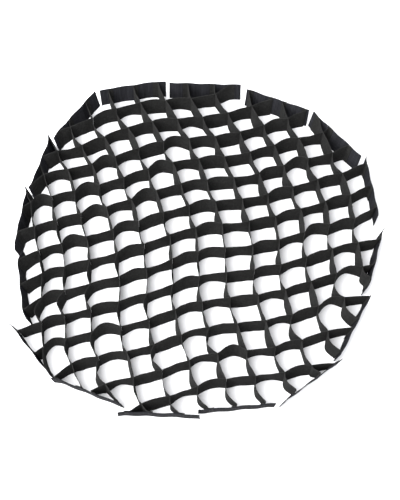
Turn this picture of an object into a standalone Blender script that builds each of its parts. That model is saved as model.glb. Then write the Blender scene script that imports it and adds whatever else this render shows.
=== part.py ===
"""Fabric egg-crate grid for a sixteen-rod softbox, lying slack on a flat surface.

Thirteen row strips and thirteen column strips of black woven cloth stand on edge and slot into each other
half way up. Their ends fold over as tabs against sixteen separate lengths of hook tape, which make the rim.
X runs along the rows, Y along the columns and Z up. Units are metres.
"""

import math

import bpy
import numpy as np

CELL = 0.063
REACH = 6
SIDES = 16
APOTHEM = 6.9 * CELL
DEPTH = 0.055

STRIP_THICK = 0.001
SLOT_WIDTH = 0.0026
SLOT_PLAY = 0.0008
TAB_LENGTH = 0.013
SEAM_GAP = 0.00035
SHORTEST_MITRE = 0.3

TAPE_THICK = 0.0018
TAPE_GAP = 0.006
TAIL_LENGTH = 0.0195

# How far the slack cloth bows out of most cell sides, how unevenly, and how far at the looser sides.
# A row's bottom edge bows ROW_FLARE more and its top edge ROW_FLARE less. END_BOW is for the free spans
# between the last crossing and the rim, and LOOSE_END_BOW for those of the columns at -Y, from
# LOOSE_END_FROM on.
ROW_BOW = 0.004
COLUMN_BOW = 0.0035
BOW_SPREAD = 0.003
LOOSE_BOW = 0.014
ROW_FLARE = 0.001
END_BOW = 0.0015
LOOSE_END_BOW = 0.011
LOOSE_END_FROM = -2

# The looser sides, each by the crossing (i, j) at its left end in a row and at its near end in a column.
LOOSE_ROWS = (
    (-6, 3), (-4, 3), (-1, 3), (-3, 4), (0, 4), (-4, 2), (-2, 2), (4, 2),
    (-5, 1), (-3, 1), (4, -1), (-6, -3), (-4, -3), (5, -3), (4, -4), (0, -5),
)
LOOSE_COLUMNS = ((-6, -2), (-5, -2), (-4, -2), (5, -4), (-4, -5), (-2, -5), (0, -5), (3, -5))

# Where the middle crossing lies, so that the whole rim is centred on the origin.
MIDDLE = (-0.0102, -0.0026)

# The whole lattice lies in a lazy S: the size of each sway in metres, then where it peaks and its
# wavelength, both as a share of SWAY_RADIUS.
SWAY_RADIUS = 0.4
COLUMN_SWAYS = ((0.023, 0.22, 1.94), (0.003, -0.05, 0.72))
ROW_SWAYS = ((0.007, -0.1, 1.45), (0.0045, 0.0, 0.77))

# The side at -X is pushed in: how far at the rim, the share of the radius where that begins, and how
# it grows.
PUSHED_IN = 0.024
PUSHED_FROM = 0.6
PUSHED_POWER = 1.5

# Where the cloth is tugged aside: the place in cells from the middle, how many cells round it move
# along, and how far it moves in X and Y.
TUGS = (
    (-4.5, 4.0, 2.0, 0.010, 0.000),
    (-3.6, 5.8, 1.2, 0.006, -0.010),
    (-0.5, 5.5, 1.5, 0.002, 0.006),
    (-6.2, 3.0, 1.0, 0.008, 0.000),
    (-5.5, 1.0, 2.0, 0.000, -0.010),
    (-5.0, -1.0, 2.0, -0.008, 0.000),
    (-4.3, -3.8, 1.6, 0.000, 0.009),
    (-3.0, -6.0, 1.0, 0.000, 0.004),
    (1.3, -5.5, 1.6, 0.003, -0.008),
)

# How each tape lies against the even plan, starting at +X and going anticlockwise: moved out, slid along
# anticlockwise, then in degrees how far it is turned anticlockwise, its clockwise and anticlockwise tails
# bent out, and the whole tape leaning out; the last number is how much longer it is than most.
TAPES = (
    (0.004, 0.016, -3.0, -6.0, 12.0, 4.0, 0.000),
    (0.000, 0.006, -1.5, 0.0, 6.0, 12.0, 0.006),
    (0.003, -0.006, 0.0, 3.0, 0.0, 12.0, 0.000),
    (0.003, -0.006, 6.0, 3.0, 0.0, 7.0, 0.014),
    (0.006, 0.000, -3.0, -14.0, -10.0, 7.0, 0.000),
    (-0.006, -0.002, 9.0, 3.0, -10.0, 12.0, 0.004),
    (-0.019, 0.004, 6.0, 26.0, 12.0, 12.0, 0.000),
    (-0.010, 0.007, -5.0, 24.0, -16.0, 12.0, 0.012),
    (-0.009, 0.018, 1.0, -36.0, -14.0, 12.0, 0.000),
    (0.014, -0.001, 11.0, 10.0, 0.0, 12.0, 0.006),
    (-0.009, 0.008, 9.0, 12.0, -4.0, 12.0, 0.000),
    (-0.005, 0.006, 2.5, 12.0, 6.0, 12.0, 0.012),
    (-0.008, 0.002, -7.0, -4.0, 3.0, 12.0, 0.000),
    (0.008, 0.006, -1.0, 6.0, 0.0, 12.0, 0.000),
    (0.004, 0.000, 0.0, 0.0, 4.0, 12.0, 0.000),
    (0.000, 0.002, -2.0, -12.0, 14.0, 10.0, 0.000),
)

CLOTH = ("black_cloth", (0.012, 0.012, 0.014), 0.9)
HOOK_TAPE = ("hook_tape", (0.03, 0.032, 0.038), 0.75)


def clear_scene():
    for obj in list(bpy.data.objects):
        bpy.data.objects.remove(obj, do_unlink=True)


def make_material(name, colour, roughness):
    material = bpy.data.materials.new(name)
    material.use_nodes = True
    shader = material.node_tree.nodes["Principled BSDF"]
    shader.inputs["Base Color"].default_value = (*colour, 1.0)
    shader.inputs["Roughness"].default_value = roughness
    shader.inputs["Metallic"].default_value = 0.0
    return material


def waves(value, sways):
    place = value / SWAY_RADIUS
    return sum(size * math.cos(2.0 * math.pi * (place - peak) / length) for size, peak, length in sways)


def tugged(point):
    """How far the cloth is tugged aside near this point of the even plan."""
    total = np.zeros(2)
    for i, j, reach, *pull in TUGS:
        distance = math.hypot(point[0] / CELL - i, point[1] / CELL - j)
        total += math.exp(-((distance / reach) ** 2)) * np.array(pull)
    return total


def swayed(point):
    """Where a point of the even lattice plan lies once the cloth has swayed."""
    x, y = point
    share = (-x / APOTHEM - PUSHED_FROM) / (1.0 - PUSHED_FROM)
    pushed = PUSHED_IN * max(0.0, share) ** PUSHED_POWER
    moved = (MIDDLE[0] + pushed + waves(y, COLUMN_SWAYS), MIDDLE[1] + waves(x, ROW_SWAYS))
    return np.array([x + moved[0], y + moved[1]]) + tugged(point)


def raised(plan, height):
    return np.array([plan[0], plan[1], height])


def across(direction):
    """The plan direction a quarter turn anticlockwise."""
    return np.array([-direction[1], direction[0]])


def unit(vector):
    return vector / np.linalg.norm(vector)


class Tape:
    """One length of rim tape: a flat middle that leans out, and a tail at each end bent out at a hinge."""

    def __init__(self, index):
        moved, slid, turned, clockwise, anticlockwise, lean, longer = TAPES[index]
        angle = 2.0 * math.pi * index / SIDES
        outward = np.array([math.cos(angle), math.sin(angle)])
        along = across(outward)
        half_side = APOTHEM * math.tan(math.pi / SIDES)
        first = swayed(APOTHEM * outward - half_side * along)
        last = swayed(APOTHEM * outward + half_side * along)
        turn = math.radians(turned)
        chord = unit(last - first)
        self.along = chord * math.cos(turn) + across(chord) * math.sin(turn)
        self.outward = -across(self.along)
        self.middle = (first + last) / 2.0 + moved * self.outward + slid * self.along
        self.half_length = half_side + (longer - TAPE_GAP) / 2.0
        self.lean = math.radians(lean)
        self.hinge = self.half_length - TAIL_LENGTH
        self.bends = [math.radians(clockwise), math.radians(anticlockwise)]

    def spot(self, run, inward, height):
        """A point at this run along the tape, this far inside its centre plane and this high."""
        side = math.copysign(1.0, run)
        beyond = abs(run) - self.hinge
        bend = self.bends[run > 0.0] * (0.0 if beyond < 0.0 else 1.0)
        facing = bend / 2.0 if beyond == 0.0 else bend
        ahead = side * self.along * math.cos(bend) + self.outward * math.sin(bend)
        out = self.outward * math.cos(facing) - side * self.along * math.sin(facing)
        plan = self.middle + min(abs(run), self.hinge) * side * self.along + max(0.0, beyond) * ahead
        shift = (height * math.tan(self.lean) - inward) / math.cos(bend - facing)
        return raised(plan + shift * out, height)

    def levels(self, run, inward):
        top = DEPTH * math.cos(self.lean)
        return [self.spot(run, inward, share * top) for share in (0.0, 0.5, 1.0)]


def mitred(points):
    """For each point of a path, the sideways direction, lengthened where the path bends, up to a limit."""
    steps = [unit(after[:2] - before[:2]) for before, after in zip(points, points[1:])]
    sideways = []
    for before, after in zip([steps[0], *steps], [*steps, steps[-1]]):
        middle = unit(across(before) + across(after))
        sideways.append(raised(middle / max(SHORTEST_MITRE, float(middle @ across(before))), 0.0))
    return sideways


def panel_triangles(left, right, notched_left, notched_right):
    """Triangles between two stations of a strip; a level 1 point is used only beside a notch."""
    low_left, mid_left, top_left = left
    low_right, mid_right, top_right = right
    if notched_left:
        return [
            (low_left, low_right, mid_left),
            (mid_left, low_right, top_left),
            (low_right, top_right, top_left),
        ]
    if notched_right:
        return [
            (low_left, low_right, mid_right),
            (low_left, mid_right, top_right),
            (low_left, top_right, top_left),
        ]
    return [(low_left, low_right, top_right), (low_left, top_right, top_left)]


def sheet_triangles(count, notches, keep):
    """The sheet's triangles, with each notched interval kept only at its lower (0) or upper (1) half."""
    triangles = []
    for place in range(count - 1):
        left = [3 * place + level for level in range(3)]
        right = [3 * place + 3 + level for level in range(3)]
        if place in notches:
            low, high = (0, 1) if keep == 0 else (1, 2)
            triangles.append((left[low], right[low], right[high]))
            triangles.append((left[low], right[high], left[high]))
        else:
            triangles += panel_triangles(left, right, place - 1 in notches, place + 1 in notches)
    return triangles


def thickened(points, sideways, triangles, thick):
    """A closed solid: the sheet's two faces and a wall along every open edge."""
    count = len(points)
    vertices = [point + side * thick / 2.0 for point, side in zip(points, sideways)]
    vertices += [point - side * thick / 2.0 for point, side in zip(points, sideways)]
    edges = [pair for a, b, c in triangles for pair in ((a, b), (b, c), (c, a))]
    inner = set(edges)
    faces = [(c, b, a) for a, b, c in triangles]
    faces += [(a + count, b + count, c + count) for a, b, c in triangles]
    for a, b in edges:
        if (b, a) not in inner:
            faces.append((a, b, b + count))
            faces.append((a, b + count, a + count))
    used = sorted({index for face in faces for index in face})
    renumber = {old: new for new, old in enumerate(used)}
    return (
        [tuple(vertices[index]) for index in used],
        [tuple(renumber[index] for index in face) for face in faces],
    )


def add_ribbon(name, stations, notches, keep, thick, material):
    """An object made of a sheet through the stations, each a low, middle and top point."""
    sides = [mitred([station[level] for station in stations]) for level in range(3)]
    points = [point for station in stations for point in station]
    sideways = [sides[level][place] for place in range(len(stations)) for level in range(3)]
    triangles = sheet_triangles(len(stations), notches, keep)
    vertices, faces = thickened(points, sideways, triangles, thick)
    mesh = bpy.data.meshes.new(name)
    mesh.from_pydata(vertices, [], faces)
    mesh.materials.append(material)
    obj = bpy.data.objects.new(name, mesh)
    bpy.context.scene.collection.objects.link(obj)


def crossings(line):
    """The strip numbers that cross strip number line, which is shorter towards the rim."""
    reach = {4: 5, 5: 4, 6: 3}.get(abs(line), REACH)
    return range(-reach, reach + 1)


def plan_point(family, line, along):
    """A point of the even plan: rows run along X, columns along Y."""
    return (along, line * CELL) if family == "row" else (line * CELL, along)


def side_bow(family, line, cross):
    """How far this cell side bows out, at its top edge and at its bottom edge."""
    if family == "row":
        usual, flare, loose = ROW_BOW, ROW_FLARE, (cross, line) in LOOSE_ROWS
    else:
        usual, flare, loose = COLUMN_BOW, 0.0, (line, cross) in LOOSE_COLUMNS
    uneven = math.sin(12.9898 * line + 4.1414 * cross + 1.3)
    bow = LOOSE_BOW if loose else usual + BOW_SPREAD * uneven
    return bow - flare, bow + flare


def bow_direction(family):
    return np.array([0.0, 1.0]) if family == "row" else np.array([-1.0, 0.0])


def lattice_levels(family, line, along, bows):
    """Low, middle and top points of an upright strip, bowed out by this at top and bottom."""
    plan = swayed(plan_point(family, line, along))
    out = bow_direction(family)
    top, bottom = bows
    shifts = (bottom, (top + bottom) / 2.0, top)
    heights = (0.0, DEPTH / 2.0, DEPTH)
    return [raised(plan + shift * out, height) for shift, height in zip(shifts, heights)]


def end_tape(family, line, sign):
    """The number of the tape that this end of the strip is sewn to."""
    step = {0: 0, 1: 0, 2: 1, 3: 1, 4: 2, 5: 2, 6: 3}[abs(line)] * (1 if line > 0 else -1)
    if family == "row":
        index = step if sign > 0 else SIDES // 2 - step
    else:
        index = SIDES // 4 - step if sign > 0 else step - SIDES // 4
    return index % SIDES


def tab_runs(family, line, sign, index):
    """Where along its tape the strip arrives, and where its tab ends. Strips 4 and 5 fold back."""
    angle = 2.0 * math.pi * index / SIDES
    outward = np.array([math.cos(angle), math.sin(angle)])
    base = np.array(plan_point(family, line, 0.0))
    heading = sign * unit(np.array(plan_point(family, 0, 1.0)))
    arrival = base + heading * (APOTHEM - base @ outward) / (heading @ outward)
    meet = float(arrival @ across(outward))
    side = math.copysign(1.0, heading @ across(outward))
    if abs(line) in (4, 5):
        side = -side
    if abs(line) < 2:
        side = 1.0 if meet < 0.0 else -1.0
    return meet, meet + side * TAB_LENGTH


def tape_to_tab():
    return TAPE_THICK / 2.0 + SEAM_GAP + STRIP_THICK / 2.0


def strip_end(family, line, tapes, sign):
    """Stations from the fold at the rim tape to the end of the tab, which may pass the tape's hinge."""
    index = end_tape(family, line, sign)
    tape = tapes[index]
    meet, tab_end = tab_runs(family, line, sign, index)
    runs = [meet, tab_end]
    if (abs(meet) - tape.hinge) * (abs(tab_end) - tape.hinge) < 0.0:
        runs.insert(1, math.copysign(tape.hinge, meet))
    return [tape.levels(run, tape_to_tab()) for run in runs]


def end_span(family, line, sign, crossing, fold):
    """The station half way along a free span, from its crossing to its fold at the rim tape."""
    span = np.linalg.norm(np.mean(fold, axis=0) - np.mean(crossing, axis=0))
    loose = family == "column" and sign < 0 and line >= LOOSE_END_FROM
    bow = (LOOSE_END_BOW if loose else END_BOW) * min(1.0, span / CELL)
    shift = raised(bow * bow_direction(family), 0.0)
    return [(near + far) / 2.0 + shift for near, far in zip(crossing, fold)]


def strip_stations(family, line, tapes):
    """All stations of one strip from its negative end to its positive end, and the notched intervals."""
    first_end = strip_end(family, line, tapes, -1)[::-1]
    last_end = strip_end(family, line, tapes, 1)
    reach = crossings(line)[-1] * CELL + SLOT_WIDTH / 2.0
    first, last = (lattice_levels(family, line, side * reach, (0.0, 0.0)) for side in (-1, 1))
    stations = [*first_end, end_span(family, line, -1, first, first_end[-1])]
    notches = set()
    for cross in crossings(line):
        notches.add(len(stations))
        for edge in (-SLOT_WIDTH / 2.0, SLOT_WIDTH / 2.0):
            stations.append(lattice_levels(family, line, cross * CELL + edge, (0.0, 0.0)))
        if cross < crossings(line)[-1]:
            bows = side_bow(family, line, cross)
            stations.append(lattice_levels(family, line, (cross + 0.5) * CELL, bows))
    return [*stations, end_span(family, line, 1, last, last_end[0]), *last_end], notches


def open_slots(stations, notches, keep):
    """Draws the notch floor back from mid height, so that the two halves don't touch."""
    shift = SLOT_PLAY / 2.0 * (-1.0 if keep == 0 else 1.0)
    for place in notches:
        for station in stations[place : place + 2]:
            station[1] = station[1] + raised((0.0, 0.0), shift)


def add_strips(tapes, material):
    for family, keep in (("row", 0), ("column", 1)):
        for line in range(-REACH, REACH + 1):
            stations, notches = strip_stations(family, line, tapes)
            open_slots(stations, notches, keep)
            name = f"{family}_strip_{line + REACH + 1:02d}"
            add_ribbon(name, stations, notches, keep, STRIP_THICK, material)


def add_tapes(tapes, material):
    for number, tape in enumerate(tapes, start=1):
        runs = (-tape.half_length, -tape.hinge, tape.hinge, tape.half_length)
        stations = [tape.levels(run, 0.0) for run in runs]
        add_ribbon(f"rim_tape_{number:02d}", stations, set(), 0, TAPE_THICK, material)


def main():
    clear_scene()
    tapes = [Tape(index) for index in range(SIDES)]
    add_strips(tapes, make_material(*CLOTH))
    add_tapes(tapes, make_material(*HOOK_TAPE))


main()
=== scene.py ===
"""Looks for the fabric egg-crate grid: woven strips, hook tape rim, thread and the white table it lies on.

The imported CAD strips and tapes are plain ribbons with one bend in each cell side. Here every one is
replaced by a finer sheet of cloth on the same plan, so the plan's formulas repeat those of the part.
Units are metres, +Z is up.
"""

import math
import random

import bpy
import numpy as np
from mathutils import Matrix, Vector


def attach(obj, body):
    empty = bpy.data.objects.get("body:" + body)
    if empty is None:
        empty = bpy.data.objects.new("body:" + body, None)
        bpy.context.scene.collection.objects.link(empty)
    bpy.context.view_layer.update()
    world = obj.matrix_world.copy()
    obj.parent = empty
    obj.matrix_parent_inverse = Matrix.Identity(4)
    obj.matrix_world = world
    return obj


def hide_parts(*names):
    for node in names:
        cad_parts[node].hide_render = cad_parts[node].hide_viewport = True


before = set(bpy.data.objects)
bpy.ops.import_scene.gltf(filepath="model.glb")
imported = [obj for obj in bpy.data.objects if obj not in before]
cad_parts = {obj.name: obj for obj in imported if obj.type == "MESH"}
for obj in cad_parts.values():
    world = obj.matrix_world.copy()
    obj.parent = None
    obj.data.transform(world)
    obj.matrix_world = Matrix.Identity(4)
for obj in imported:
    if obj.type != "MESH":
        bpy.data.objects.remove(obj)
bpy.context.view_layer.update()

# The plan, as in the part, but for the slot's width. A loose side is given by the crossing at its left
# end in a row, or at its near end in a column. A tug is a place in cells, how many cells it reaches,
# and its pull in X and Y. A tape is moved out and slid along anticlockwise, then in degrees it is
# turned, its clockwise and anticlockwise tails are bent out, and the whole leans out. The last number
# is how much longer it is than most.
CELL = 0.063
REACH = 6
SIDES = 16
APOTHEM = 6.9 * CELL
DEPTH = 0.055
SLOT_WIDTH = 0.0013
SLOT_PLAY = 0.0008
TAB_LENGTH = 0.013
TAPE_THICK = 0.0018
TAPE_GAP = 0.006
TAIL_LENGTH = 0.0195
ROW_BOW = 0.004
COLUMN_BOW = 0.0035
BOW_SPREAD = 0.003
LOOSE_BOW = 0.014
ROW_FLARE = 0.001
END_BOW = 0.0015
LOOSE_END_BOW = 0.011
LOOSE_END_FROM = -2
LOOSE_ROWS = (
    (-6, 3), (-4, 3), (-1, 3), (-3, 4), (0, 4), (-4, 2), (-2, 2), (4, 2),
    (-5, 1), (-3, 1), (4, -1), (-6, -3), (-4, -3), (5, -3), (4, -4), (0, -5),
)
LOOSE_COLUMNS = ((-6, -2), (-5, -2), (-4, -2), (5, -4), (-4, -5), (-2, -5), (0, -5), (3, -5))
MIDDLE = (-0.0102, -0.0026)
SWAY_RADIUS = 0.4
COLUMN_SWAYS = ((0.023, 0.22, 1.94), (0.003, -0.05, 0.72))
ROW_SWAYS = ((0.007, -0.1, 1.45), (0.0045, 0.0, 0.77))
PUSHED_IN = 0.024
PUSHED_FROM = 0.6
PUSHED_POWER = 1.5
TUGS = (
    (-4.5, 4.0, 2.0, 0.010, 0.000),
    (-3.6, 5.8, 1.2, 0.006, -0.010),
    (-0.5, 5.5, 1.5, 0.002, 0.006),
    (-6.2, 3.0, 1.0, 0.008, 0.000),
    (-5.5, 1.0, 2.0, 0.000, -0.010),
    (-5.0, -1.0, 2.0, -0.008, 0.000),
    (-4.3, -3.8, 1.6, 0.000, 0.009),
    (-3.0, -6.0, 1.0, 0.000, 0.004),
    (1.3, -5.5, 1.6, 0.003, -0.008),
)
TAPES = (
    (0.004, 0.016, -3.0, -6.0, 12.0, 4.0, 0.000),
    (0.000, 0.006, -1.5, 0.0, 6.0, 12.0, 0.006),
    (0.003, -0.006, 0.0, 3.0, 0.0, 12.0, 0.000),
    (0.003, -0.006, 6.0, 3.0, 0.0, 7.0, 0.014),
    (0.006, 0.000, -3.0, -14.0, -10.0, 7.0, 0.000),
    (-0.006, -0.002, 9.0, 3.0, -10.0, 12.0, 0.004),
    (-0.019, 0.004, 6.0, 26.0, 12.0, 12.0, 0.000),
    (-0.010, 0.007, -5.0, 24.0, -16.0, 12.0, 0.012),
    (-0.009, 0.018, 1.0, -36.0, -14.0, 12.0, 0.000),
    (0.014, -0.001, 11.0, 10.0, 0.0, 12.0, 0.006),
    (-0.009, 0.008, 9.0, 12.0, -4.0, 12.0, 0.000),
    (-0.005, 0.006, 2.5, 12.0, 6.0, 12.0, 0.012),
    (-0.008, 0.002, -7.0, -4.0, 3.0, 12.0, 0.000),
    (0.008, 0.006, -1.0, 6.0, 0.0, 12.0, 0.000),
    (0.004, 0.000, 0.0, 0.0, 4.0, 12.0, 0.000),
    (0.000, 0.002, -2.0, -12.0, 14.0, 10.0, 0.000),
)

# The cloth's own section: heights across a strip, and how thick it is at each against the plain
# cloth. The woven edges are beaded, and the outermost rows round them off.
CLOTH_THICK = 0.0008
HALF_SECTION = ((0.0, 0.5), (0.0006, 1.2), (0.0017, 1.45), (0.0032, 1.0), (0.014, 1.0))

# How a strip lies: its fold at a tape, how far a cell side leans over and how lopsided its bow is,
# how much higher than the tape a tab is sewn and how much of that comes before the tab, and how
# many steps each stretch is drawn in.
FOLD_RADIUS = 0.0045
FOLD_SHARE = 0.35
SIDE_LEAN = 0.0035
BOW_SKEW = 0.22
TAB_LIFT = 0.0012
LIFT_BY_FOLD = 0.6
SPAN_STEPS = 10
END_STEPS = 8
FOLD_STEPS = 6
TAB_STEPS = 4

# The small waves that cut and sewn cloth keeps: their height, how many are laid over each other,
# the range of their lengths, and how far each may slant.
PUCKER_HEIGHT = 0.00016
PUCKER_COUNT = 5
PUCKER_PITCHES = (0.018, 0.06)
PUCKER_SLANT = 25.0

# The tape's section: heights, then how far the ribbed back and the hooks stand out from the centre
# plane, as shares of half the tape's thickness.
TAPE_SECTION = (
    (0.0, 0.35, 0.3),
    (0.0008, 0.8, 0.55),
    (0.0028, 0.9, 0.6),
    (0.0040, 0.9, 1.0),
    (0.0165, 0.9, 1.0),
)
RIB_PITCH = 0.0034
RIB_HEIGHT = 0.0002

# How a tape lies: the length over which a tail bends out, and the waves along it.
BEND_EASE = 0.036
PATH_POINTS = 401
TAPE_WAVE = 0.0009
TAPE_WAVE_PITCH = 0.058

# The two lines of stitches that hold each tab: how far each is from the fold, then a stitch's
# pitch, its half length against that, and the thread.
STITCH_LINES = (0.0035, 0.0098)
STITCH_PITCH = 0.0034
STITCH_REACH = 0.42
THREAD_RADIUS = 0.00035

# Colours, and the pitches of the patterns that a sine draws. Fluffy black cloth has hardly any
# gloss, even at a glancing angle.
CLOTH_COLOUR = (0.0146, 0.0146, 0.0143)
TAPE_BACK_COLOUR = (0.0165, 0.0167, 0.0192)
HOOK_COLOUR = (0.009, 0.0092, 0.0104)
THREAD_COLOUR = (0.012, 0.012, 0.013)
TABLE_COLOUR = (0.86, 0.86, 0.875)
CLOTH_IOR = 1.1
CLOTH_GLOSS = 0.12
YARN_PITCH = 0.0014
TAPE_YARN_PITCH = 0.0011
HOOK_PITCHES = (0.0024, 0.0019)
CLOTH_EDGE = 0.0022
TAPE_EDGE = 0.0034
SHARP_EDGE = math.radians(50.0)

# The table, and the light: a bright dome and one large soft lamp high on the left.
TABLE_REACH = 12.0
TABLE_TOP = -0.0004
DOME_COLOUR = (0.97, 0.98, 1.0)
DOME_STRENGTH = 1.4
LAMP_PLACE = (-1.8, -0.8, 2.9)
LAMP_SIZE = 3.8
LAMP_POWER = 440.0

# The view.
AZIMUTH = math.radians(-15.3)
ELEVATION = math.radians(61.0)
DISTANCE = 2.54
LENS = 77.2
SHIFT = (0.0228, -0.0110)
CLIP_END = 100.0


def waves(value, sways):
    """The sum of the sways, each given as its size, the place of its peak and its length."""
    place = value / SWAY_RADIUS
    return sum(size * math.cos(2.0 * math.pi * (place - peak) / length) for size, peak, length in sways)


def tugged(point):
    """How far the cloth is tugged aside near this point of the even plan."""
    total = np.zeros(2)
    for i, j, reach, *pull in TUGS:
        distance = math.hypot(point[0] / CELL - i, point[1] / CELL - j)
        total += math.exp(-((distance / reach) ** 2)) * np.array(pull)
    return total


def swayed(point):
    """Where a point of the even lattice plan lies once the cloth has swayed."""
    x, y = point
    share = (-x / APOTHEM - PUSHED_FROM) / (1.0 - PUSHED_FROM)
    pushed = PUSHED_IN * max(0.0, share) ** PUSHED_POWER
    moved = (MIDDLE[0] + pushed + waves(y, COLUMN_SWAYS), MIDDLE[1] + waves(x, ROW_SWAYS))
    return np.array([x + moved[0], y + moved[1]]) + tugged(point)


def across(direction):
    """The plan direction a quarter turn anticlockwise."""
    return np.array([-direction[1], direction[0]])


def unit(direction):
    return direction / np.linalg.norm(direction)


def both_halves(section, depth):
    """A section given from one edge to the middle, mirrored to run from edge to edge."""
    upper = [(depth - row[0], *row[1:]) for row in reversed(section)]
    middle = (depth / 2.0, *section[-1][1:])
    return np.array([*section, middle, *upper])


CLOTH_SECTION = both_halves(HALF_SECTION, DEPTH)
HEIGHTS = CLOTH_SECTION[:, 0]
SLOT_LEVEL = len(HEIGHTS) // 2


class Tape:
    """One length of rim tape on the part's plan. Its tails bend out in an easy curve, not at a hinge."""

    def __init__(self, index):
        moved, slid, turned, clockwise, anticlockwise, lean, longer = TAPES[index]
        angle = 2.0 * math.pi * index / SIDES
        outward = np.array([math.cos(angle), math.sin(angle)])
        along = across(outward)
        half_side = APOTHEM * math.tan(math.pi / SIDES)
        first = swayed(APOTHEM * outward - half_side * along)
        last = swayed(APOTHEM * outward + half_side * along)
        turn = math.radians(turned)
        chord = unit(last - first)
        self.along = chord * math.cos(turn) + across(chord) * math.sin(turn)
        self.outward = -across(self.along)
        self.middle = (first + last) / 2.0 + moved * self.outward + slid * self.along
        self.half_length = half_side + (longer - TAPE_GAP) / 2.0
        self.lean = math.radians(lean)
        self.lay_out(math.radians(clockwise), math.radians(anticlockwise))
        self.aside += TAPE_WAVE * np.sin(2.0 * math.pi * self.runs / TAPE_WAVE_PITCH + 2.1 * index)

    def lay_out(self, clockwise, anticlockwise):
        """Tabulates the plan path: at each run its place, and how far anticlockwise it has turned."""
        self.runs = np.linspace(-self.half_length, self.half_length, PATH_POINTS)
        hinge = self.half_length - TAIL_LENGTH
        share = np.clip((np.abs(self.runs) - hinge + BEND_EASE / 2.0) / BEND_EASE, 0.0, 1.0)
        eased = share * share * (3.0 - 2.0 * share)
        self.turns = np.where(self.runs < 0.0, clockwise, -anticlockwise) * eased
        step = self.runs[1] - self.runs[0]
        ahead = np.cumsum(np.cos(self.turns)) * step
        aside = np.cumsum(np.sin(self.turns)) * step
        self.ahead = ahead - np.interp(0.0, self.runs, ahead)
        self.aside = aside - np.interp(0.0, self.runs, aside)

    def column(self, run, inward, heights):
        """Points up the tape at this run, this far inside its centre plane."""
        turn = np.interp(run, self.runs, self.turns)
        plan = self.middle + np.interp(run, self.runs, self.ahead) * self.along
        plan = plan - np.interp(run, self.runs, self.aside) * self.outward
        out = self.outward * math.cos(turn) + self.along * math.sin(turn)
        outs = np.asarray(heights) * math.tan(self.lean) - inward
        return np.column_stack([plan + outs[:, None] * out, heights])


def crossings(line):
    """The strip numbers that cross strip number line, which is shorter towards the rim."""
    reach = {4: 5, 5: 4, 6: 3}.get(abs(line), REACH)
    return range(-reach, reach + 1)


def plan_point(family, line, along):
    """A point of the even plan: rows run along X, columns along Y."""
    return (along, line * CELL) if family == "row" else (line * CELL, along)


def end_tape(family, line, sign):
    """The number of the tape that this end of the strip is sewn to."""
    step = {0: 0, 1: 0, 2: 1, 3: 1, 4: 2, 5: 2, 6: 3}[abs(line)] * (1 if line > 0 else -1)
    if family == "row":
        index = step if sign > 0 else SIDES // 2 - step
    else:
        index = SIDES // 4 - step if sign > 0 else step - SIDES // 4
    return index % SIDES


def tab_runs(family, line, sign, index):
    """Where along its tape the strip arrives, and where its tab ends. Strips 4 and 5 fold back."""
    angle = 2.0 * math.pi * index / SIDES
    outward = np.array([math.cos(angle), math.sin(angle)])
    base = np.array(plan_point(family, line, 0.0))
    heading = sign * unit(np.array(plan_point(family, 0, 1.0)))
    arrival = base + heading * (APOTHEM - base @ outward) / (heading @ outward)
    meet = float(arrival @ across(outward))
    side = math.copysign(1.0, heading @ across(outward))
    if abs(line) in (4, 5):
        side = -side
    if abs(line) < 2:
        side = 1.0 if meet < 0.0 else -1.0
    return meet, meet + side * TAB_LENGTH


def side_bow(family, line, cross):
    """How far this cell side bows out, at its top edge and at its bottom edge.

    Here and below, the sine of mixed strip numbers only scatters the values.
    """
    if family == "row":
        usual, flare, loose = ROW_BOW, ROW_FLARE, (cross, line) in LOOSE_ROWS
    else:
        usual, flare, loose = COLUMN_BOW, 0.0, (line, cross) in LOOSE_COLUMNS
    uneven = math.sin(12.9898 * line + 4.1414 * cross + 1.3)
    bow = LOOSE_BOW if loose else usual + BOW_SPREAD * uneven
    return bow - flare, bow + flare


def bowed(plan, family, bows, share):
    """Points up a strip at this plan point, bowed out to +Y or -X by this share of its two bows."""
    out = np.array([0.0, 1.0]) if family == "row" else np.array([-1.0, 0.0])
    top, bottom = bows
    shifts = share * (bottom + (top - bottom) * HEIGHTS / DEPTH)
    return np.column_stack([plan + shifts[:, None] * out, HEIGHTS])


def upright(family, line, along):
    """Points up a strip where it stands straight."""
    return bowed(swayed(plan_point(family, line, along)), family, (0.0, 0.0), 0.0)


def cell_side(family, line, cross):
    """Stations of one cell side, from the slot at this crossing to the slot at the next."""
    edge = SLOT_WIDTH / 2.0 / CELL
    skew = 1.0 + BOW_SKEW * math.sin(7.3 * line + 3.1 * cross)
    top, bottom = side_bow(family, line, cross)
    phase = 2.0 if family == "row" else 0.0
    lean = SIDE_LEAN * math.sin(5.1 * line + 8.7 * cross + phase)
    bows = (top + lean, bottom - lean)
    stations = []
    for share in np.linspace(0.0, 1.0, SPAN_STEPS + 1):
        along = (cross + edge + share * (1.0 - 2.0 * edge)) * CELL
        plan = swayed(plan_point(family, line, along))
        stations.append(bowed(plan, family, bows, math.sin(math.pi * share**skew)))
    return stations


def tab_inset():
    """How far inside its tape's centre plane a tab lies: on the ribs, with a little air."""
    return TAPE_THICK * 0.5 + RIB_HEIGHT + CLOTH_THICK * 0.75


def tab_lift(family, line, sign):
    """How much higher than its tape this tab was sewn."""
    phase = 1.3 if family == "row" else 0.0
    return TAB_LIFT * (1.0 + math.sin(4.7 * line + 2.9 * sign + phase))


def rounded(before, corner, after):
    """Points on the easy curve that turns a corner, without the two ends."""
    shares = np.linspace(0.0, 1.0, FOLD_STEPS + 1)[1:-1]
    return [(1 - s) ** 2 * before + 2 * s * (1 - s) * corner + s * s * after for s in shares]


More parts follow.
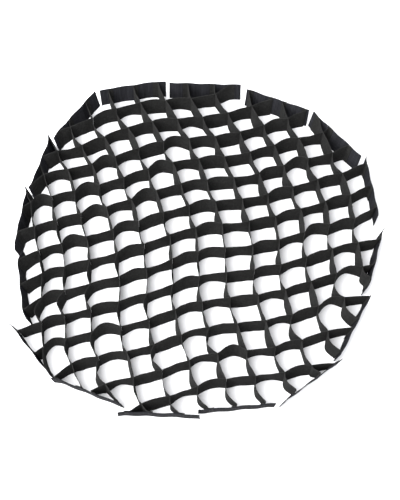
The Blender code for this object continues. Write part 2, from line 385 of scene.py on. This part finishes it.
def strip_end(family, line, tapes, sign):
    """Stations beyond the last slot: the free span, the fold against the rim tape, and the tab."""
    index = end_tape(family, line, sign)
    tape = tapes[index]
    meet, tab_end = tab_runs(family, line, sign, index)
    last = sign * (crossings(line)[-1] * CELL + SLOT_WIDTH / 2.0)
    start = upright(family, line, last)
    corner = tape.column(meet, tab_inset(), HEIGHTS)
    length = np.linalg.norm((corner - start).mean(0))
    radius = min(FOLD_RADIUS, FOLD_SHARE * length)
    reach = 1.0 - radius / length
    loose = family == "column" and sign < 0 and line >= LOOSE_END_FROM
    slack = [(LOOSE_END_BOW if loose else END_BOW) * min(1.0, length / CELL)] * 2
    stations = []
    for share in np.linspace(0.0, reach, END_STEPS + 1)[1:]:
        station = start + share * (corner - start)
        bulge = bowed(np.zeros(2), family, slack, math.sin(math.pi * min(1.0, share / reach)))
        station[:, :2] += bulge[:, :2]
        stations.append(station)
    tab_start = meet + math.copysign(radius, tab_end - meet)
    lift = np.array([0.0, 0.0, tab_lift(family, line, sign)])
    tab = tape.column(tab_start, tab_inset(), HEIGHTS) + LIFT_BY_FOLD * lift
    stations += rounded(stations[-1], corner, tab)
    for share in np.linspace(0.0, 1.0, TAB_STEPS + 1):
        run = tab_start + share * (tab_end - tab_start)
        lifted = LIFT_BY_FOLD + (1.0 - LIFT_BY_FOLD) * share
        stations.append(tape.column(run, tab_inset(), HEIGHTS) + lifted * lift)
    return stations


def strip_stations(family, line, tapes):
    """All stations of one strip from its negative end to its positive end, and the slotted intervals."""
    lines = crossings(line)
    stations = strip_end(family, line, tapes, -1)[::-1]
    stations.append(upright(family, line, lines[0] * CELL - SLOT_WIDTH / 2.0))
    slots = [len(stations) - 1]
    for cross in lines[:-1]:
        stations += cell_side(family, line, cross)
        slots.append(len(stations) - 1)
    stations.append(upright(family, line, lines[-1] * CELL + SLOT_WIDTH / 2.0))
    return np.array(stations + strip_end(family, line, tapes, 1)), slots


def open_slots(stations, slots, keep):
    """Draws each slot's floor back from mid height, and marks what the slots leave of the sheet."""
    kept = np.ones((stations.shape[0] - 1, stations.shape[1] - 1), bool)
    play = SLOT_PLAY / 2.0 * (-1.0 if keep == "lower" else 1.0)
    for place in slots:
        stations[place : place + 2, SLOT_LEVEL, 2] += play
        if keep == "lower":
            kept[place, SLOT_LEVEL:] = False
        else:
            kept[place, :SLOT_LEVEL] = False
    return kept


def sideways(stations):
    """At each point the level direction square to the sheet's run."""
    run = np.gradient(stations[:, :, :2], axis=0)
    run /= np.linalg.norm(run, axis=2, keepdims=True)
    return np.dstack([-run[:, :, 1], run[:, :, 0], np.zeros(run.shape[:2])])


def grid_faces(kept, left, right):
    """Faces of both sides of a sheet where it is kept, walls along its open edges, and side numbers."""
    faces, sides = [], []
    rows, levels = kept.shape
    padded = np.zeros((rows + 2, levels + 2), bool)
    padded[1:-1, 1:-1] = kept
    for i, j in np.argwhere(kept):
        ring = [(i, j), (i + 1, j), (i + 1, j + 1), (i, j + 1)]
        faces.append([left[p] for p in reversed(ring)])
        faces.append([right[p] for p in ring])
        sides += [0, 1]
        neighbours = ((i + 1, j), (i + 2, j + 1), (i + 1, j + 2), (i, j + 1))
        for corner, (a, b) in enumerate(neighbours):
            if not padded[a, b]:
                p, q = ring[corner], ring[(corner + 1) % 4]
                faces.append([left[p], left[q], right[q], right[p]])
                sides.append(0)
    return faces, sides


def add_object(name, data):
    obj = bpy.data.objects.new(name, data)
    bpy.context.scene.collection.objects.link(obj)
    return obj


def add_sheet(name, left, right, kept, heights, materials):
    """A closed thin solid between two grids of points, with its run and height in metres as UVs."""
    count = left.shape[0] * left.shape[1]
    numbers = np.arange(count).reshape(left.shape[:2])
    faces, sides = grid_faces(kept, numbers, numbers + count)
    points = np.concatenate([left.reshape(-1, 3), right.reshape(-1, 3)])
    middle = left.shape[1] // 2
    steps = np.linalg.norm(np.diff(left[:, middle], axis=0), axis=1)
    runs = np.repeat(np.concatenate([[0.0], np.cumsum(steps)]), left.shape[1])
    ups = np.tile(heights, left.shape[0])
    uvs = np.tile(np.column_stack([runs, ups]), (2, 1))
    used, compact = np.unique(np.array(faces), return_inverse=True)
    compact = compact.reshape(-1, 4)
    mesh = bpy.data.meshes.new(name)
    mesh.from_pydata(points[used].tolist(), [], compact.tolist())
    layer = mesh.uv_layers.new(name="run_and_height")
    layer.data.foreach_set("uv", uvs[used][compact.reshape(-1)].astype(np.float32).ravel())
    for material in materials:
        mesh.materials.append(material)
    mesh.polygons.foreach_set("material_index", np.minimum(sides, len(materials) - 1))
    mesh.polygons.foreach_set("use_smooth", np.ones(len(faces), bool))
    mesh.set_sharp_from_angle(angle=SHARP_EDGE)
    return add_object(name, mesh), float(steps.sum())


def puckered(stations, seed):
    """The sheet with the small waves that cut and sewn cloth keeps."""
    source = random.Random(seed)
    steps = np.linalg.norm(np.diff(stations[:, 0], axis=0), axis=1)
    runs = np.concatenate([[0.0], np.cumsum(steps)])
    shift = np.zeros(stations.shape[:2])
    for _ in range(PUCKER_COUNT):
        pitch = source.uniform(*PUCKER_PITCHES)
        slant = source.uniform(-PUCKER_SLANT, PUCKER_SLANT)
        phase = source.uniform(0.0, 2.0 * math.pi)
        angles = 2.0 * math.pi * runs[:, None] / pitch + slant * HEIGHTS[None, :] + phase
        shift += PUCKER_HEIGHT * np.sin(angles)
    return stations + shift[:, :, None] * sideways(stations)


def finish_piece(obj, node):
    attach(obj, "root")
    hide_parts(node)


def add_strips(tapes, material):
    for family, keep in (("row", "lower"), ("column", "upper")):
        for line in range(-REACH, REACH + 1):
            stations, slots = strip_stations(family, line, tapes)
            kept = open_slots(stations, slots, keep)
            stations = puckered(stations, f"{family}{line}")
            offset = sideways(stations) * (CLOTH_THICK / 2.0 * CLOTH_SECTION[:, 1])[None, :, None]
            number = line + REACH + 1
            name = f"{family}_cloth_{number:02d}"
            left, right = stations + offset, stations - offset
            obj, length = add_sheet(name, left, right, kept, HEIGHTS, [material])
            finish_piece(obj, f"{family}_strip_{number:02d}")


def add_tapes(tapes, back, hooks):
    section = both_halves(TAPE_SECTION, DEPTH)
    for number, tape in enumerate(tapes, start=1):
        heights = section[:, 0] * math.cos(tape.lean)
        count = 2 * int(tape.half_length / RIB_PITCH * 2.0) + 1
        runs = np.linspace(-tape.half_length, tape.half_length, count)
        centre = np.array([tape.column(run, 0.0, heights) for run in runs])
        ribs = RIB_HEIGHT * (np.arange(count) % 2)[:, None, None]
        side = sideways(centre)
        inner = centre + side * (section[:, 1][None, :, None] * TAPE_THICK / 2.0 + ribs)
        outer = centre - side * section[:, 2][None, :, None] * TAPE_THICK / 2.0
        kept = np.ones((count - 1, len(heights) - 1), bool)
        name = f"hook_tape_{number:02d}"
        obj, length = add_sheet(name, inner, outer, kept, section[:, 0], [back, hooks])
        finish_piece(obj, f"rim_tape_{number:02d}")


def stitch_shape(centre, up, out):
    """The eight faces of one stitch: a short length of thread that dives into the cloth at both ends."""
    aside = np.cross(up, out)
    reach = STITCH_REACH * STITCH_PITCH * up
    ring = [THREAD_RADIUS * way for way in (out, aside, -out, -aside)]
    points = [centre - reach, *(centre + way for way in ring), centre + reach]
    faces = [(0, 1 + (k + 1) % 4, 1 + k) for k in range(4)]
    faces += [(5, 1 + k, 1 + (k + 1) % 4) for k in range(4)]
    return points, faces


def tab_stitches(tape, meet, tab_end):
    """The stitches that hold one tab, on the tab's face and on the tape's hook side."""
    toward = math.copysign(1.0, tab_end - meet)
    heights = np.arange(2.0 * STITCH_PITCH, DEPTH - 2.0 * STITCH_PITCH, STITCH_PITCH)
    stitches = []
    for line in STITCH_LINES:
        inner = tape.column(meet + toward * line, tab_inset() + CLOTH_THICK * 0.5, heights)
        outer = tape.column(meet + toward * line, -TAPE_THICK * 0.5, heights)
        up = unit(inner[-1] - inner[0])
        out = unit(outer[0] - inner[0])
        stitches += [stitch_shape(centre, up, out) for centre in (*inner, *outer)]
    return stitches


def add_stitching(tapes, material):
    stitches = {index: [] for index in range(SIDES)}
    for family in ("row", "column"):
        for line in range(-REACH, REACH + 1):
            for sign in (-1, 1):
                index = end_tape(family, line, sign)
                stitches[index] += tab_stitches(tapes[index], *tab_runs(family, line, sign, index))
    for index, shapes in stitches.items():
        points, faces = [], []
        for corners, sides in shapes:
            faces += [tuple(len(points) + corner for corner in side) for side in sides]
            points += [tuple(corner) for corner in corners]
        name = f"tab_stitching_{index + 1:02d}"
        mesh = bpy.data.meshes.new(name)
        mesh.from_pydata(points, [], faces)
        mesh.materials.append(material)
        obj = add_object(name, mesh)
        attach(obj, "root")


def node(tree, kind, **inputs):
    """A shader node with these inputs set or linked.

    A name that starts with an underscore is the node's own setting, and i with a number is the
    input at that place.
    """
    made = tree.nodes.new(kind)
    for name, value in inputs.items():
        if name.startswith("_"):
            setattr(made, name[1:], value)
            continue
        socket = made.inputs[int(name[1:]) if name[1:].isdigit() else name]
        if isinstance(value, bpy.types.NodeSocket):
            tree.links.new(value, socket)
        else:
            socket.default_value = value
    return made


def calculate(tree, operation, first, second=0.0, third=0.0):
    made = node(tree, "ShaderNodeMath", _operation=operation, i0=first, i1=second, i2=third)
    return made.outputs[0]


def product(tree, *values):
    result = values[0]
    for value in values[1:]:
        result = calculate(tree, "MULTIPLY", result, value)
    return result


def vector(tree, x, y, z):
    return node(tree, "ShaderNodeCombineXYZ", X=x, Y=y, Z=z).outputs[0]


def sine(tree, value, pitch):
    return calculate(tree, "SINE", product(tree, value, 2.0 * math.pi / pitch))


def noise(tree, place, scale, detail=2.0):
    made = node(tree, "ShaderNodeTexNoise", Vector=place, Scale=scale, Detail=detail, Roughness=0.55)
    return made.outputs["Fac"]


def spread(tree, value, low, high):
    """The value's 0 to 1 stretched to run from low to high."""
    return node(tree, "ShaderNodeMapRange", i0=value, i1=0.0, i2=1.0, i3=low, i4=high).outputs[0]


def edge_share(tree, height, width):
    """1 at the sheet's two long edges, falling to 0 this far in."""
    near = calculate(tree, "MINIMUM", height, calculate(tree, "SUBTRACT", DEPTH, height))
    share = calculate(tree, "SUBTRACT", 1.0, calculate(tree, "DIVIDE", near, width))
    return node(tree, "ShaderNodeClamp", Value=share, Min=0.0, Max=1.0).outputs[0]


def start_material(name):
    """A new material, its node tree, and the place on the object."""
    material = bpy.data.materials.new(name)
    material.use_nodes = True
    tree = material.node_tree
    return material, tree, node(tree, "ShaderNodeTexCoord").outputs["Object"]


def run_and_height(tree):
    """How far along its sheet a point lies, and how high."""
    uv = node(tree, "ShaderNodeUVMap", _uv_map="run_and_height").outputs[0]
    parts = node(tree, "ShaderNodeSeparateXYZ", Vector=uv)
    return parts.outputs[0], parts.outputs[1]


def shade(tree, colour, factor, **inputs):
    """Gives the material this colour, times a grey factor, and sets or links its other inputs."""
    grey = vector(tree, factor, factor, factor)
    ways = {"_data_type": "RGBA", "_blend_type": "MULTIPLY"}
    mixed = node(tree, "ShaderNodeMix", **ways, i0=1.0, i6=(*colour, 1.0), i7=grey).outputs[2]
    shader = tree.nodes["Principled BSDF"]
    for name, value in {"Base_Color": mixed, **inputs}.items():
        socket = shader.inputs[name.replace("_", " ")]
        if isinstance(value, bpy.types.NodeSocket):
            tree.links.new(value, socket)
        else:
            socket.default_value = value


def shade_cloth(tree, colour, factor, roughness, lift, strength, distance):
    """As shade, with cloth's faint gloss, and relief of this depth from the lift."""
    bump = node(tree, "ShaderNodeBump", Strength=strength, Distance=distance, Height=lift)
    gloss = {"IOR": CLOTH_IOR, "Specular_IOR_Level": CLOTH_GLOSS}
    shade(tree, colour, factor, Roughness=roughness, Normal=bump.outputs[0], **gloss)


def cloth_material():
    """Black plain-woven nylon: fine crossed yarns, slubs, a rubbed woven edge and a faint sheen."""
    material, tree, place = start_material("black_woven_cloth")
    run, height = run_and_height(tree)
    weave = product(tree, sine(tree, run, YARN_PITCH), sine(tree, height, YARN_PITCH))
    slubs = noise(tree, vector(tree, product(tree, run, 0.12), height, 0.0), 900.0)
    patches = noise(tree, place, 28.0, 4.0)
    fluff = noise(tree, place, 230.0)
    rubbed = edge_share(tree, height, CLOTH_EDGE)
    factor = product(
        tree,
        calculate(tree, "MULTIPLY_ADD", weave, 0.16, 1.0),
        spread(tree, slubs, 0.72, 1.28),
        spread(tree, patches, 0.6, 1.4),
        spread(tree, fluff, 0.3, 1.7),
        spread(tree, rubbed, 1.0, 1.5),
    )
    lift = calculate(tree, "MULTIPLY_ADD", slubs, 0.6, product(tree, weave, 0.5))
    shade_cloth(tree, CLOTH_COLOUR, factor, spread(tree, slubs, 0.7, 0.92), lift, 0.5, 0.0003)
    shader = tree.nodes["Principled BSDF"]
    shader.inputs["Sheen Weight"].default_value = 0.015
    shader.inputs["Sheen Roughness"].default_value = 0.45
    return material


def tape_back_material():
    """The woven back of hook tape: close ribs across it, in a slightly bluer and lighter black."""
    material, tree, place = start_material("hook_tape_woven_back")
    run, height = run_and_height(tree)
    ribs = sine(tree, run, RIB_PITCH)
    yarns = sine(tree, height, TAPE_YARN_PITCH)
    slubs = noise(tree, place, 600.0)
    patches = noise(tree, place, 40.0, 4.0)
    streaks = noise(tree, vector(tree, run, product(tree, height, 0.04), 0.0), 190.0)
    factor = product(
        tree,
        calculate(tree, "MULTIPLY_ADD", ribs, 0.35, 1.0),
        spread(tree, streaks, 0.3, 1.7),
        calculate(tree, "MULTIPLY_ADD", yarns, 0.12, 1.0),
        spread(tree, slubs, 0.7, 1.3),
        spread(tree, patches, 0.75, 1.25),
    )
    lift = calculate(tree, "MULTIPLY_ADD", yarns, 0.4, product(tree, slubs, 0.5))
    shade_cloth(tree, TAPE_BACK_COLOUR, factor, spread(tree, slubs, 0.6, 0.85), lift, 0.5, 0.0003)
    return material


def hook_material():
    """The hook side: a dense field of short nylon hooks in straight rows, between two smooth edges, with
    the hooks painted lighter than the ground between them as painted glints.
    """
    material, tree, place = start_material("hook_tape_hooks")
    run, height = run_and_height(tree)
    across_run, across_height = HOOK_PITCHES
    rows = product(tree, sine(tree, run, across_run), sine(tree, height, across_height))
    tips = noise(tree, place, 1400.0)
    patches = noise(tree, place, 45.0, 4.0)
    field = calculate(tree, "SUBTRACT", 1.0, edge_share(tree, height, TAPE_EDGE))
    hooks = product(tree, field, calculate(tree, "MULTIPLY_ADD", rows, 0.5, 0.5))
    # Painted glints: the colour over the hooks is up to two and a half times lighter than at the smooth
    # edges and between the hooks.
    factor = product(
        tree,
        calculate(tree, "MULTIPLY_ADD", hooks, 0.9, 0.6),
        spread(tree, tips, 0.6, 1.4),
        spread(tree, patches, 0.8, 1.2),
    )
    lift = product(tree, hooks, tips)
    shade_cloth(tree, HOOK_COLOUR, factor, spread(tree, tips, 0.45, 0.8), lift, 0.8, 0.0008)
    return material


def thread_material():
    """Black polyester sewing thread."""
    material, tree, place = start_material("black_sewing_thread")
    factor = spread(tree, noise(tree, place, 1500.0), 0.6, 1.4)
    shade(tree, THREAD_COLOUR, factor, Roughness=0.55, Specular_IOR_Level=0.2)
    return material


def table_material():
    """Plain white matt card."""
    material, tree, place = start_material("white_card")
    factor = spread(tree, noise(tree, place, 60.0, 3.0), 0.98, 1.02)
    shade(tree, TABLE_COLOUR, factor, Roughness=0.9, Specular_IOR_Level=0.1)
    return material


def add_table():
    mesh = bpy.data.meshes.new("table")
    turns = ((-1, -1), (1, -1), (1, 1), (-1, 1))
    corners = [(x * TABLE_REACH, y * TABLE_REACH, TABLE_TOP) for x, y in turns]
    mesh.from_pydata(corners, [], [(0, 1, 2, 3)])
    mesh.materials.append(table_material())
    add_object("table", mesh)


def add_lights():
    world = bpy.data.worlds.new("studio")
    world.use_nodes = True
    dome = world.node_tree.nodes["Background"]
    dome.inputs["Color"].default_value = (*DOME_COLOUR, 1.0)
    dome.inputs["Strength"].default_value = DOME_STRENGTH
    bpy.context.scene.world = world
    lamp = bpy.data.lights.new("key", "AREA")
    lamp.shape = "DISK"
    lamp.size = LAMP_SIZE
    lamp.energy = LAMP_POWER
    obj = add_object("key", lamp)
    obj.location = LAMP_PLACE
    obj.rotation_euler = (-obj.location).to_track_quat("-Z", "Y").to_euler()


def add_camera():
    camera = bpy.data.cameras.new("camera")
    camera.lens = LENS
    camera.shift_x, camera.shift_y = SHIFT
    camera.clip_end = CLIP_END
    obj = add_object("camera", camera)
    level = math.cos(ELEVATION)
    back = Vector((math.sin(AZIMUTH) * level, -math.cos(AZIMUTH) * level, math.sin(ELEVATION)))
    obj.location = Vector((*MIDDLE, 0.0)) + back * DISTANCE
    obj.rotation_euler = (-back).to_track_quat("-Z", "Y").to_euler()
    bpy.context.scene.camera = obj


def main():
    tapes = [Tape(index) for index in range(SIDES)]
    add_strips(tapes, cloth_material())
    add_tapes(tapes, tape_back_material(), hook_material())
    add_stitching(tapes, thread_material())
    add_table()
    add_lights()
    add_camera()
    bpy.context.scene.view_settings.view_transform = "Standard"


main()
